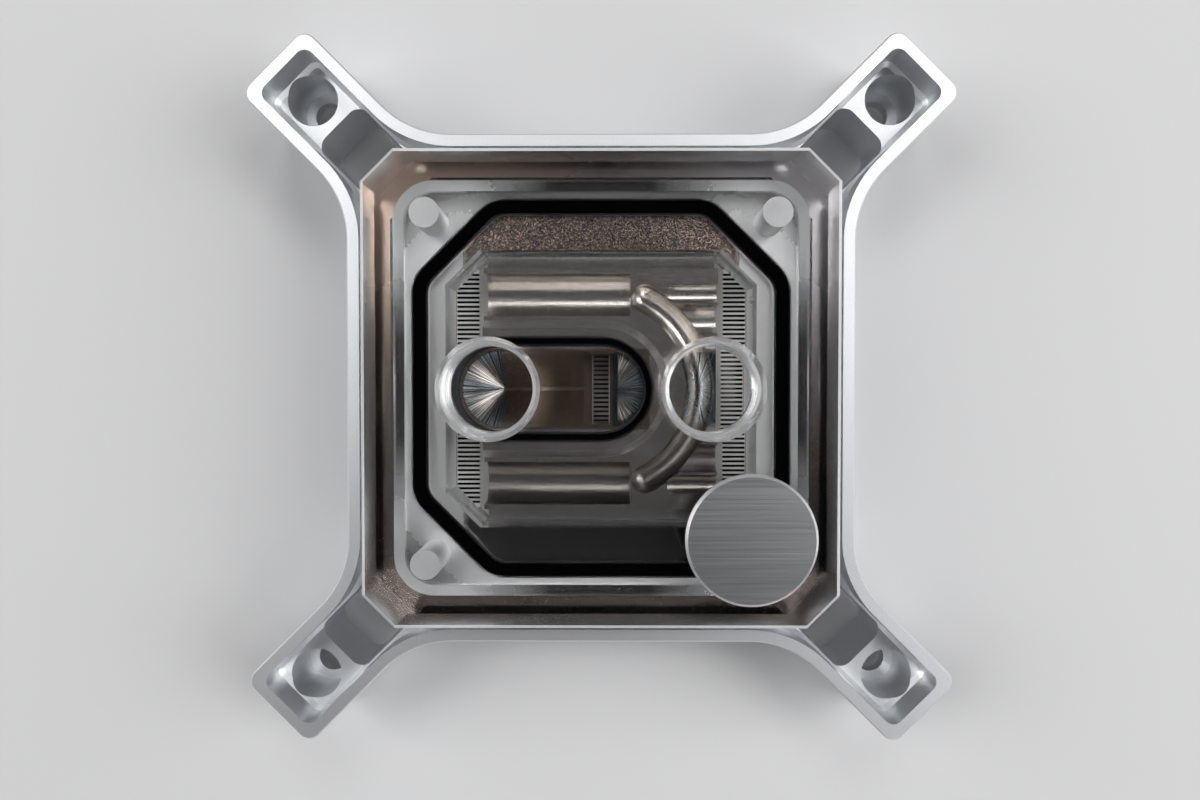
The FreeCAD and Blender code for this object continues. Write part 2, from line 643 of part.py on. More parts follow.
# Cold plate
def make_cold_plate():
    body = add_body("cold_plate")
    sketch = add_sketch(body, "PlateOutline", plate_flange_under)
    cut_square(sketch, "plate", flange_width, flange_width, flange_cut)
    add_pad(body, sketch, "PlatePad", size["plateFlange"])
    # The pedestal's corners stay clear of the screws' heads
    head_reach = (size["screwHead"] / 2 + size["headMargin"]) * math.sqrt(2)
    pedestal_cut = size["pedestalWidth"] - screw_offset * 2 + head_reach
    sketch = add_sketch(body, "PedestalSketch", 0)
    cut_square(sketch, "pedestal", size["pedestalWidth"], size["pedestalWidth"], pedestal_cut)
    add_pad(body, sketch, "PedestalPad", plate_flange_under)

    # Countersunk holes for the clamp screws
    shank = size["tapDiameter"] / 2 + size["screwGap"]
    head = size["screwHead"] / 2
    sketch = add_sketch(body, "ShankSketch", plate_top)
    for number, (right, up) in enumerate(CORNERS, start=1):
        circle(sketch, "shank%d" % number, screw_offset * right, screw_offset * up, shank)
    add_pocket(body, sketch, "ShankPocket", size["plateFlange"])
    add_dressup(body, "Chamfer", "Countersinks",
                lambda edge: lies_at(edge, plate_flange_under) and len(edge.Vertexes) == 1,
                "Size", head - shank)

    # Micro-fins: one slot, repeated across the plate
    first_slot = (size["finPitch"] - slot_count * size["finPitch"]) / 2
    sketch = add_sketch(body, "SlotSketch", plate_top)
    rectangle(sketch, "slot", -(size["finLength"] / 2), size["finLength"] / 2,
              first_slot - size["finGap"] / 2, first_slot + size["finGap"] / 2)
    slot = add_pocket(body, sketch, "FinSlot", size["finHeight"])
    pattern = body.newObject("PartDesign::LinearPattern", "FinSlots")
    pattern.Originals = [slot]
    pattern.Direction = (sketch, ["V_Axis"])
    bind(pattern, "Length", (slot_count - 1) * size["finPitch"])
    bind(pattern, "Occurrences", slot_count)
    body.Tip = pattern
    doc.recompute()
    return body


# Jet plate
def make_jet_plate():
    body = add_body("jet_plate")
    sketch = add_sketch(body, "JetOutline", plate_top)
    cut_square(sketch, "jet", insert_length + size["jetLip"] * 2, shoulder_width, size["jetLip"])
    centred_rectangle(sketch, "slot", size["jetSlotWidth"], size["jetSlotLength"])
    add_pad(body, sketch, "JetPad", size["jetThickness"])
    return body


# Flow insert
def make_insert():
    body = add_body("flow_insert")
    half_length = insert_length / 2
    sketch = add_sketch(body, "ShoulderSketch", insert_under)
    centred_rectangle(sketch, "shoulder", insert_length, shoulder_width)
    add_pad(body, sketch, "ShoulderPad", size["shoulderHeight"])
    sketch = add_sketch(body, "BodySketch", insert_under)
    centred_rectangle(sketch, "body", insert_length, insert_half_width * 2)
    add_pad(body, sketch, "BodyPad", insert_land - insert_under)

    # Collar round the inlet, blended into the land
    sketch = add_sketch(body, "CollarSketch", insert_land)
    half_stadium(sketch, "collar", -half_length, size["collarRadius"])
    add_pad(body, sketch, "CollarPad", collar_top - insert_land)
    foot = size["collarRadius"].number

    def is_collar_foot(edge):
        return lies_at(edge, insert_land) and edge.BoundBox.YMax < foot + CLOSE \
            and edge.BoundBox.YMin > -foot - CLOSE and edge.BoundBox.XMax > -half_length.number + CLOSE

    add_dressup(body, "Chamfer", "CollarFlare", is_collar_foot, "Size", size["collarFlare"])

    # Tongue that carries the seal's left end out to the chamber's wall
    tongue_under = collar_top - size["tongueThickness"]
    sketch = add_sketch(body, "TongueSketch", tongue_under)
    stadium(sketch, "tongue", inlet_left, NOTHING, size["inletSealRadius"])
    add_pad(body, sketch, "TonguePad", seal_ledge - tongue_under)

    # Ledge that the inlet seal lies on, outside the trough's lip
    lip = size["inletSealRadius"] - size["inletSealBand"] - size["grooveGap"]
    sketch = add_sketch(body, "LedgeSketch", collar_top)
    stadium(sketch, "ledge", inlet_left, NOTHING, size["inletSealRadius"] + size["grooveGap"])
    add_pocket(body, sketch, "LedgePocket", collar_top - seal_ledge)
    sketch = add_sketch(body, "LipSketch", seal_ledge)
    stadium(sketch, "lip", inlet_left, NOTHING, lip)
    add_pad(body, sketch, "LipPad", collar_top - seal_ledge)

    # Long channels, open at the left end
    channel_level = insert_under + size["channelFloor"] + size["channelRadius"]
    channel_offset = insert_half_width - size["channelInset"]
    sketch = add_sketch(body, "ChannelSketch", size["channelEnd"], role="YZ_Plane")
    for name, side in (("upper", 1), ("lower", -1)):
        ball_cut(sketch, name, channel_offset * side, size["channelRadius"], channel_level, collar_top)
    add_pocket(body, sketch, "ChannelPocket", half_length + size["channelEnd"])

    # Channel that bends round the collar towards the outlet
    ball_level = insert_under + size["bendFloor"] + size["bendToolRadius"]
    sketch = add_sketch(body, "BendSketch", 0, role="XZ_Plane")
    ball_cut(sketch, "bend", size["bendRadius"], size["bendToolRadius"], ball_level, collar_top)
    groove = body.newObject("PartDesign::Groove", "BendGroove")
    groove.Profile = sketch
    groove.ReferenceAxis = (sketch, ["V_Axis"])
    groove.Midplane = True
    bind(groove, "Angle", size["bendHalfAngle"] * 2)
    doc.recompute()

    # Where that channel ends, the ball-nosed cutter leaves a round wall
    end_angle = math.radians(size["bendHalfAngle"].number)
    end_x = size["bendRadius"] * math.cos(end_angle)
    end_y = size["bendRadius"] * math.sin(end_angle)
    sketch = add_sketch(body, "BendEndSketch", collar_top)
    for name, side in (("upper", 1), ("lower", -1)):
        circle(sketch, name, end_x, end_y * side, size["bendToolRadius"])
    add_pocket(body, sketch, "BendEndPocket", collar_top - ball_level)
    for name, side in (("UpperBall", 1), ("LowerBall", -1)):
        ball = body.newObject("PartDesign::SubtractiveSphere", name)
        ball.AttachmentSupport = (base_plane(body, "XY_Plane"), [""])
        ball.MapMode = "FlatFace"
        bind(ball, "Radius", size["bendToolRadius"])
        bind(ball, "AttachmentOffset.Base.x", end_x)
        bind(ball, "AttachmentOffset.Base.y", end_y * side)
        bind(ball, "AttachmentOffset.Base.z", ball_level)
    doc.recompute()

    # Short grooves from the right end into the bend
    for name in ("innerGroove", "outerGroove"):
        sketch = add_sketch(body, name + "Sketch", size["sideGrooveStart"], role="YZ_Plane")
        radius = size[name + "Radius"]
        offset = insert_half_width - size[name + "Inset"]
        centre_level = insert_land - size[name + "Depth"] + radius
        for side_name, side in (("upper", 1), ("lower", -1)):
            ball_cut(sketch, side_name, offset * side, radius, centre_level, collar_top)
        add_pocket(body, sketch, name + "Pocket", half_length - size["sideGrooveStart"], upward=True)

    # Inlet trough: a V with cone ends, down to a well and the jet slot
    trough = lip - size["troughLip"]
    mouth = add_sketch(body, "TroughMouth", collar_top)
    stadium(mouth, "mouth", inlet_left, NOTHING, trough)
    tip = add_sketch(body, "TroughTip", insert_under + size["troughFloor"])
    stadium(tip, "tip", inlet_left, NOTHING, size["troughTip"])
    loft = body.newObject("PartDesign::SubtractiveLoft", "Trough")
    loft.Profile = mouth
    loft.Sections = [tip]
    loft.Ruled = True
    doc.recompute()
    well_floor = insert_under + size["wellFloor"]
    sketch = add_sketch(body, "WellSketch", collar_top)
    centred_rectangle(sketch, "well", size["wellHalfWidth"] * 2, size["wellHalfLength"] * 2)
    add_pocket(body, sketch, "WellPocket", collar_top - well_floor)
    sketch = add_sketch(body, "SlotSketch", well_floor)
    centred_rectangle(sketch, "slot", size["slotWidth"], size["slotLength"])
    add_pocket(body, sketch, "SlotPocket", well_floor - insert_under)
    return body


# Clamp screws
def screw_profile(sketch):
    """Half section of a countersunk screw: head, shank and bevelled tip."""
    head = size["screwHead"].number / 2
    shank = size["tapDiameter"].number / 2 - size["threadGap"].number
    tip = size["screwTip"].number
    length = size["screwLength"].number
    cone = head - shank
    corners = [(0, 0), (head, 0), (shank, cone), (shank, length - tip), (shank - tip, length), (0, length)]
    first = closed_lines(sketch, [FreeCAD.Vector(x, z, 0) for x, z in corners])
    sketch.addConstraint(Sketcher.Constraint("Coincident", first, 1, -1, 1))
    sketch.addConstraint(Sketcher.Constraint("Horizontal", first))
    sketch.addConstraint(Sketcher.Constraint("Vertical", first + 2))
    sketch.addConstraint(Sketcher.Constraint("Horizontal", first + 4))
    sketch.addConstraint(Sketcher.Constraint("Vertical", first + 5))
    shank_size = size["tapDiameter"] / 2 - size["threadGap"]
    cone_size = size["screwHead"] / 2 - shank_size
    dimension(sketch, "headRadius",
              Sketcher.Constraint("DistanceX", first, 1, first, 2, head), size["screwHead"] / 2)
    dimension(sketch, "shankRadius",
              Sketcher.Constraint("DistanceX", -1, 1, first + 1, 2, shank), shank_size)
    dimension(sketch, "coneHeight",
              Sketcher.Constraint("DistanceY", -1, 1, first + 1, 2, cone), cone_size)
    dimension(sketch, "length",
              Sketcher.Constraint("DistanceY", -1, 1, first + 3, 2, length), size["screwLength"])
    dimension(sketch, "tipAcross",
              Sketcher.Constraint("DistanceX", first + 3, 2, first + 3, 1, tip), size["screwTip"])
    dimension(sketch, "tipUp",
              Sketcher.Constraint("DistanceY", first + 3, 1, first + 3, 2, tip), size["screwTip"])


def hexagon(sketch, across):
    """A centred hexagon with two flats upright."""
    radius = across / math.sqrt(3)
    points = []
    for i in range(6):
        angle = math.radians(60 * i + 30)
        points.append(FreeCAD.Vector(radius.number * math.cos(angle), radius.number * math.sin(angle), 0))
    first = closed_lines(sketch, points)
    guide = sketch.addGeometry(Part.Circle(FreeCAD.Vector(0, 0, 0), UP, radius.number), True)
    sketch.addConstraint(Sketcher.Constraint("Coincident", guide, 3, -1, 1))
    for i in range(6):
        sketch.addConstraint(Sketcher.Constraint("PointOnObject", first + i, 1, guide))
    for i in range(1, 6):
        sketch.addConstraint(Sketcher.Constraint("Equal", first, first + i))
    sketch.addConstraint(Sketcher.Constraint("Vertical", first + 5))
    dimension(sketch, "radius", Sketcher.Constraint("Radius", guide, radius.number), radius)


def make_screw(number, right, up):
    body = add_body("clamp_screw_%d" % number)
    sketch = add_sketch(body, "ScrewProfile", 0, role="XZ_Plane")
    screw_profile(sketch)
    turned = body.newObject("PartDesign::Revolution", "ScrewTurned")
    turned.Profile = sketch
    turned.ReferenceAxis = (sketch, ["V_Axis"])
    turned.Angle = 360
    doc.recompute()
    sketch = add_sketch(body, "SocketSketch", size["socketDepth"])
    hexagon(sketch, size["socketAcross"])
    add_pocket(body, sketch, "SocketPocket", size["socketDepth"])
    bind(body, "Placement.Base.x", screw_offset * right)
    bind(body, "Placement.Base.y", screw_offset * up)
    bind(body, "Placement.Base.z", plate_flange_under)
    return body


# Badge
def make_badge_pad():
    body = add_body("badge_pad")
    sketch = add_sketch(body, "PadSketch", block_top)
    pad_radius = size["badgeDiameter"] / 2 - size["padMargin"]
    circle(sketch, "pad", size["badgeOffset"], -size["badgeOffset"], pad_radius)
    add_pad(body, sketch, "PadPad", size["padThickness"])
    return body


def make_badge():
    body = add_body("badge")
    badge_under = block_top + size["padThickness"]
    badge_face = badge_under + size["badgeThickness"]
    sketch = add_sketch(body, "BadgeSketch", badge_under)
    circle(sketch, "badge", size["badgeOffset"], -size["badgeOffset"], size["badgeDiameter"] / 2)
    add_pad(body, sketch, "BadgePad", size["badgeThickness"])
    add_dressup(body, "Chamfer", "BadgeBevel", lambda edge: lies_at(edge, badge_face),
                "Size", size["badgeBevel"])
    return body


def check_document():
    """Stop on any feature that failed to build."""
    for item in doc.Objects:
        if "Invalid" in item.State or "Error" in item.State:
            raise ValueError("%s failed: %s" % (item.Name, item.State))


def export_parts(bodies):
    os.makedirs("parts", exist_ok=True)
    for body in bodies:
        shape = body.Shape
        if shape.isNull() or not shape.isValid() or len(shape.Solids) != 1:
            raise ValueError("%s is not one sound solid" % body.Label)
        shape.exportStep(os.path.join("parts", body.Label + ".step"))
        box = shape.BoundBox
        print("%-14s %9.1f mm3  z %6.2f to %6.2f" % (body.Label, shape.Volume, box.ZMin, box.ZMax))


bodies = [make_frame(), make_clear_top(), make_main_seal(), make_inlet_seal(), make_cold_plate(),
          make_jet_plate(), make_insert(), make_badge_pad(), make_badge()]
for number, (right, up) in enumerate(CORNERS, start=1):
    bodies.append(make_screw(number, right, up))
doc.recompute()
check_document()
export_parts(bodies)
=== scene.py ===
import math

import bmesh
import bpy
from mathutils import Euler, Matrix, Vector


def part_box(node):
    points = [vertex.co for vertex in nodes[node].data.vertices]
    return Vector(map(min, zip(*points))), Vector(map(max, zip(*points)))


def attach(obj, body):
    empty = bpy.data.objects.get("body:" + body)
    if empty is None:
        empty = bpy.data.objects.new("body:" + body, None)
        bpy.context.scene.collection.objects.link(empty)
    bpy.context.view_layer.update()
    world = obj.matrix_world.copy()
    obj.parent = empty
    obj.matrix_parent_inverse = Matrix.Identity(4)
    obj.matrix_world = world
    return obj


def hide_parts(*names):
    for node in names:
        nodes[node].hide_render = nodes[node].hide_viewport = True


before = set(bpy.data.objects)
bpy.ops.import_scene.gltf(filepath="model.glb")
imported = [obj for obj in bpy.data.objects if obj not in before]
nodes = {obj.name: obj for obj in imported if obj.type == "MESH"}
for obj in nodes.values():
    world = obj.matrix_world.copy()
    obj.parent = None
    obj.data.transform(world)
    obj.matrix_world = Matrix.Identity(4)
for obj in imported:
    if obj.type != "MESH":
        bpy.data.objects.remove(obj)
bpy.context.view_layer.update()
mm = 0.001
print("frame loaded:", len(nodes), "nodes")


# Helpers for materials. Limits, reaches, radii and depths are in mm, and grains are per metre

def newMaterial(name, metallic=0.0):
    material = bpy.data.materials.new(name)
    material.use_nodes = True
    tree = material.node_tree
    shader = tree.nodes["Principled BSDF"]
    shader.inputs["Metallic"].default_value = metallic
    return material, tree, shader


def connect(tree, shader, colour, roughness, normal=None):
    tree.links.new(colour, shader.inputs["Base Color"])
    tree.links.new(roughness, shader.inputs["Roughness"])
    if normal is not None:
        tree.links.new(normal, shader.inputs["Normal"])


def objectPoint(tree, scale=(1.0, 1.0, 1.0), place=(0.0, 0.0, 0.0)):
    coords = tree.nodes.new("ShaderNodeTexCoord")
    mapping = tree.nodes.new("ShaderNodeMapping")
    mapping.inputs["Location"].default_value = place
    mapping.inputs["Scale"].default_value = scale
    tree.links.new(coords.outputs["Object"], mapping.inputs["Vector"])
    return mapping.outputs["Vector"]


def splitPoint(tree, point):
    split = tree.nodes.new("ShaderNodeSeparateXYZ")
    tree.links.new(point, split.inputs["Vector"])
    return split.outputs["X"], split.outputs["Y"], split.outputs["Z"]


def alongLine(tree, value):
    line = tree.nodes.new("ShaderNodeCombineXYZ")
    tree.links.new(value, line.inputs["X"])
    return line.outputs["Vector"]


def addMath(tree, operation, first, second=None):
    node = tree.nodes.new("ShaderNodeMath")
    node.operation = operation
    for socket, value in zip(node.inputs, (first, second)):
        if value is None:
            continue
        if isinstance(value, float):
            socket.default_value = value
        else:
            tree.links.new(value, socket)
    return node.outputs["Value"]


def plus(tree, first, second):
    return addMath(tree, "ADD", first, second)


def minus(tree, first, second):
    return addMath(tree, "SUBTRACT", first, second)


def times(tree, first, second):
    return addMath(tree, "MULTIPLY", first, second)


def larger(tree, first, second):
    return addMath(tree, "MAXIMUM", first, second)


def absolute(tree, value):
    return addMath(tree, "ABSOLUTE", value)


def opposite(tree, mask):
    return minus(tree, 1.0, mask)


def above(tree, value, limit):
    return addMath(tree, "GREATER_THAN", value, limit * mm)


def below(tree, value, limit):
    return addMath(tree, "LESS_THAN", value, limit * mm)


def within(tree, value, limit):
    return below(tree, absolute(tree, value), limit)


def withinBoth(tree, x, y, halfLength, halfWidth):
    return times(tree, within(tree, x, halfLength), within(tree, y, halfWidth))


def squaredDistance(tree, x, y):
    return plus(tree, times(tree, x, x), times(tree, y, y))


def withinRadius(tree, x, y, radius):
    return addMath(tree, "LESS_THAN", squaredDistance(tree, x, y), (radius * mm) ** 2)


def bothSides(tree, x, y):
    return plus(tree, absolute(tree, x), absolute(tree, y))


def addNoise(tree, point, grain, detail=2.0, roughness=0.5):
    noise = tree.nodes.new("ShaderNodeTexNoise")
    noise.inputs["Scale"].default_value = grain
    noise.inputs["Detail"].default_value = detail
    noise.inputs["Roughness"].default_value = roughness
    tree.links.new(point, noise.inputs["Vector"])
    return noise.outputs["Fac"]


def mapTo(tree, value, low, high, fromLow=0.3, fromHigh=0.7):
    node = tree.nodes.new("ShaderNodeMapRange")
    node.inputs["From Min"].default_value = fromLow
    node.inputs["From Max"].default_value = fromHigh
    node.inputs["To Min"].default_value = low
    node.inputs["To Max"].default_value = high
    tree.links.new(value, node.inputs["Value"])
    return node.outputs["Result"]


def mapReach(tree, value, low, high, reach):
    return mapTo(tree, value, low, high, reach[0] * mm, reach[1] * mm)


def addBump(tree, height, depth, before=None):
    bump = tree.nodes.new("ShaderNodeBump")
    bump.inputs["Distance"].default_value = depth * mm
    tree.links.new(height, bump.inputs["Height"])
    if before is not None:
        tree.links.new(before, bump.inputs["Normal"])
    return bump.outputs["Normal"]


def mixColours(tree, factor, first, second):
    mix = tree.nodes.new("ShaderNodeMix")
    mix.data_type = "RGBA"
    for name, value in (("A", first), ("B", second)):
        socket = [s for s in mix.inputs if s.name == name and s.type == "RGBA"][0]
        if isinstance(value, tuple):
            socket.default_value = (*value, 1.0)
        else:
            tree.links.new(value, socket)
    tree.links.new(factor, mix.inputs[0])
    return [s for s in mix.outputs if s.type == "RGBA"][0]


# Camera: straight above the block, a little tilted, as close as the photograph

cameraSet = {
    "place": (0.46, 0.89, 130.71),      # mm
    "tilt": (-1.17, 0.284, 0.007),      # degrees
    "focalPixels": 858.0,
    "imageWidth": 1200.0,
    "sensor": 36.0,
    "clip": (0.005, 20.0),              # metres
}


def makeCamera(values):
    data = bpy.data.cameras.new("camera")
    data.sensor_width = values["sensor"]
    data.lens = values["focalPixels"] / values["imageWidth"] * values["sensor"]
    data.clip_start, data.clip_end = values["clip"]
    camera = bpy.data.objects.new("camera", data)
    camera.location = Vector(values["place"]) * mm
    camera.rotation_euler = Euler([math.radians(a) for a in values["tilt"]])
    bpy.context.scene.collection.objects.link(camera)
    bpy.context.scene.camera = camera


makeCamera(cameraSet)


# Light and floor

studioSet = {
    "overhead": (0.026, 0.026, 0.027),      # dark ceiling above the camera
    "horizon": (0.30, 0.305, 0.315),
    "overheadFrom": 0.85,                   # share of straight up where the ceiling's dark is full
    "floorColour": (0.60, 0.60, 0.605),
    "floorRoughness": 0.9,
    "floorSize": 6.0,                       # metres
}

lampSet = {
    # name: (place in metres, size in metres, power in watts)
    "rightLamp": ((0.82, 0.00, 0.62), 0.70, 7.0),
    "leftLamp": ((-0.80, 0.16, 0.64), 0.70, 5.0),
    "frontLamp": ((0.56, -0.84, 0.50), 0.60, 1.4),
    "backLamp": ((0.04, 0.80, 0.92), 0.44, 2.6),
    "upperRightPanel": ((0.53, 0.33, 1.02), 0.34, 2.00),
    "upperLeftPanel": ((-0.53, 0.35, 1.02), 0.34, 1.60),
}


def makeWorld(values):
    world = bpy.data.worlds.new("studio")
    world.use_nodes = True
    tree = world.node_tree
    background = tree.nodes["Background"]
    coords = tree.nodes.new("ShaderNodeTexCoord")
    height = splitPoint(tree, coords.outputs["Generated"])[2]
    ramp = tree.nodes.new("ShaderNodeValToRGB")
    horizon, overhead = ramp.color_ramp.elements
    horizon.position = 0.0
    horizon.color = (*values["horizon"], 1.0)
    overhead.position = values["overheadFrom"]
    overhead.color = (*values["overhead"], 1.0)
    tree.links.new(height, ramp.inputs["Fac"])
    tree.links.new(ramp.outputs["Color"], background.inputs["Color"])
    bpy.context.scene.world = world


def makeLamps(values):
    for name, (place, side, power) in values.items():
        data = bpy.data.lights.new(name, "AREA")
        data.shape = "SQUARE"
        data.size = side
        data.energy = power
        lamp = bpy.data.objects.new(name, data)
        lamp.location = place
        lamp.rotation_mode = "QUATERNION"
        lamp.rotation_quaternion = (-Vector(place)).to_track_quat("-Z", "Y")
        bpy.context.scene.collection.objects.link(lamp)


def makeFloor(values):
    bm = bmesh.new()
    bmesh.ops.create_grid(bm, x_segments=1, y_segments=1, size=values["floorSize"] / 2)
    mesh = bpy.data.meshes.new("floor")
    bm.to_mesh(mesh)
    bm.free()
    floor = bpy.data.objects.new("floor", mesh)
    bpy.context.scene.collection.objects.link(floor)
    material, tree, shader = newMaterial("paleFloor")
    shader.inputs["Base Color"].default_value = (*values["floorColour"], 1.0)
    shader.inputs["Roughness"].default_value = values["floorRoughness"]
    mesh.materials.append(material)


makeWorld(studioSet)
makeLamps(lampSet)
makeFloor(studioSet)
bpy.context.scene.view_settings.view_transform = "Standard"
print("camera, light and floor made")


# Frame: satin aluminium

frameSet = {
    "colours": ((0.78, 0.80, 0.82), (0.84, 0.85, 0.87)),
    "blastedColour": (0.60, 0.62, 0.64),
    "blastedShare": 0.30,
    "broadGrain": 60.0,
    "blastedGrain": 4500.0,
    "fineGrain": 9000.0,
    "roughness": (0.40, 0.50),
    "depth": 0.003,             # mm
}


def satinAluminium(values):
    material, tree, shader = newMaterial("satinAluminium", metallic=1.0)
    point = objectPoint(tree)
    fine = addNoise(tree, point, values["fineGrain"], detail=3.0)
    broad = addNoise(tree, point, values["broadGrain"])
    blasted = addNoise(tree, point, values["blastedGrain"], roughness=0.6)
    colour = mixColours(tree, broad, *values["colours"])
    blastedShare = mapTo(tree, blasted, 0.0, values["blastedShare"])
    colour = mixColours(tree, blastedShare, colour, values["blastedColour"])
    roughness = mapTo(tree, fine, *values["roughness"])
    connect(tree, shader, colour, roughness, addBump(tree, fine, values["depth"]))
    return material


# Cold plate: nickel, with fins in its middle, a land along each side of them, a band beneath the
# clear top's relief, and a rim that is blasted rougher and painted lighter towards the top. Painted
# shade darkens the slots, the fins under the jet slot, the lower land and the band

plateSet = {
    # Levels and half widths, in mm
    "finTop": 5.75,             # the fins' tops lie above this level
    "finHalfLength": 20.6,
    "finHalfWidth": 17.0,
    "wellHalf": 10.0,           # the fins under the jet slot are darker: painted shade
    "landMiddle": 21.3,         # along y
    "landHalf": 3.0,
    "landLength": 21.0,
    "coreHalf": 25.2,           # the band lies between this and the rim
    "rimHalf": 29.4,
    "rimDiagonal": 53.0,        # as x + y
    "rimReach": (8.0, 42.0),    # along y and the sides, where the blasting and the painted light grow
    "rimSlope": 0.6,            # how far the sides count there, as a share
    "rimAcross": (-16.0, 20.0),     # along x, where the painted light's tint goes from brown to lavender
    # Colours
    "plainColours": ((0.57, 0.46, 0.40), (0.68, 0.58, 0.52)),
    "hammeredColours": ((0.17, 0.115, 0.095), (0.80, 0.64, 0.56)),
    # painted shade: the lower land is painted darker than the upper land
    "shadedLandColour": (0.13, 0.11, 0.10),
    # painted shade: the band beneath the clear top's relief is painted dark
    "bandShadeColour": (0.18, 0.17, 0.17),
    # painted light: the rim is painted dark at the bottom and lighter towards the top
    "shadedRimColour": (0.24, 0.19, 0.165),
    "litRimColours": ((0.88, 0.66, 0.53), (0.95, 0.90, 0.93)),
    "speckColour": (1.0, 0.98, 0.96),
    # painted shade in the slots between the fins
    "slotShadeColour": (0.15, 0.125, 0.115),
    "finColours": ((0.92, 0.91, 0.89), (0.40, 0.38, 0.36)),     # bare, and under the jet slot with painted shade
    # Grain
    "broadGrain": 70.0,
    "fineGrain": 5200.0,
    "hammeredGrain": 5600.0,
    "hammeredSpan": (0.46, 0.66),
    "speckGrain": 3600.0,
    "speckSpan": (0.70, 0.74),
    "speckShare": 0.8,
    "depth": 0.008,             # mm
    "upperLandDepth": 3.0,      # added on the upper land, as a share
    "lowerLandCalm": 0.7,       # taken away on the lower land, as a share
    # Roughness
    "roughness": (0.14, 0.24),
    "rimRoughness": 0.38,
    "landRoughness": 0.25,
    "finRoughness": 0.50,
}


def plateZones(tree, x, y, z, values):
    onFins = withinBoth(tree, x, y, values["finHalfLength"], values["finHalfWidth"])
    finTops = times(tree, onFins, above(tree, z, values["finTop"]))
    offLand = absolute(tree, minus(tree, absolute(tree, y), values["landMiddle"] * mm))
    lands = times(tree, below(tree, offLand, values["landHalf"]),
                  within(tree, x, values["landLength"]))
    upperLand = times(tree, lands, above(tree, y, 0.0))
    square = withinBoth(tree, x, y, values["rimHalf"], values["rimHalf"])
    insideRim = times(tree, square, below(tree, bothSides(tree, x, y), values["rimDiagonal"]))
    core = withinBoth(tree, x, y, values["coreHalf"], values["coreHalf"])
    upwards = plus(tree, y, times(tree, absolute(tree, x), values["rimSlope"]))
    return {
        "finTops": finTops,
        "slots": minus(tree, onFins, finTops),
        "upperLand": upperLand,
        "lowerLand": minus(tree, lands, upperLand),
        "band": times(tree, insideRim, opposite(tree, core)),
        "rim": opposite(tree, insideRim),
        "rimLightAndBlast": mapReach(tree, upwards, 0.0, 1.0, values["rimReach"]),
    }


def plateColour(tree, point, x, zones, values):
    broad = addNoise(tree, point, values["broadGrain"])
    colour = mixColours(tree, broad, *values["plainColours"])
    cells = addNoise(tree, point, values["hammeredGrain"], detail=1.0)
    cells = mapTo(tree, cells, 0.0, 1.0, *values["hammeredSpan"])
    hammered = mixColours(tree, cells, *values["hammeredColours"])
    colour = mixColours(tree, zones["upperLand"], colour, hammered)
    # painted shade on the lower land
    colour = mixColours(tree, zones["lowerLand"], colour, values["shadedLandColour"])
    # painted shade on the band beneath the relief
    colour = mixColours(tree, zones["band"], colour, values["bandShadeColour"])
    # painted light on the rim, lighter towards the top
    rimSide = mapReach(tree, x, 0.0, 1.0, values["rimAcross"])
    rimLitColour = mixColours(tree, rimSide, *values["litRimColours"])
    rimColour = mixColours(tree, zones["rimLightAndBlast"], values["shadedRimColour"], rimLitColour)
    colour = mixColours(tree, zones["rim"], colour, rimColour)
    specks = addNoise(tree, point, values["speckGrain"], detail=1.0)
    specks = mapTo(tree, specks, 0.0, values["speckShare"], *values["speckSpan"])
    colour = mixColours(tree, specks, colour, values["speckColour"])
    # painted shade in the slots
    colour = mixColours(tree, zones["slots"], colour, values["slotShadeColour"])
    # painted shade on the fins under the jet slot
    finColour = mixColours(tree, within(tree, x, values["wellHalf"]), *values["finColours"])
    return mixColours(tree, zones["finTops"], colour, finColour)


def nickelPlate(values):
    material, tree, shader = newMaterial("nickelPlate", metallic=1.0)
    point = objectPoint(tree)
    x, y, z = splitPoint(tree, point)
    zones = plateZones(tree, x, y, z, values)
    colour = plateColour(tree, point, x, zones, values)

    grain = addNoise(tree, point, values["fineGrain"], roughness=0.6)
    calm = opposite(tree, times(tree, zones["lowerLand"], values["lowerLandCalm"]))
    deeper = plus(tree, 1.0, times(tree, zones["upperLand"], values["upperLandDepth"]))
    height = times(tree, times(tree, grain, calm), deeper)

    roughness = times(tree, mapTo(tree, grain, *values["roughness"]), calm)
    blasted = times(tree, zones["rim"], zones["rimLightAndBlast"])
    for mask, least in ((zones["finTops"], values["finRoughness"]),
                        (blasted, values["rimRoughness"]),
                        (zones["upperLand"], values["landRoughness"])):
        roughness = larger(tree, roughness, times(tree, mask, least))
    connect(tree, shader, colour, roughness, addBump(tree, height, values["depth"]))
    return material


# Flow insert: milled nickel, with turning marks that fan out over the trough's two cones, coloured
# with painted highlights and painted shade; painted shade also darkens the trough and the lower
# channels

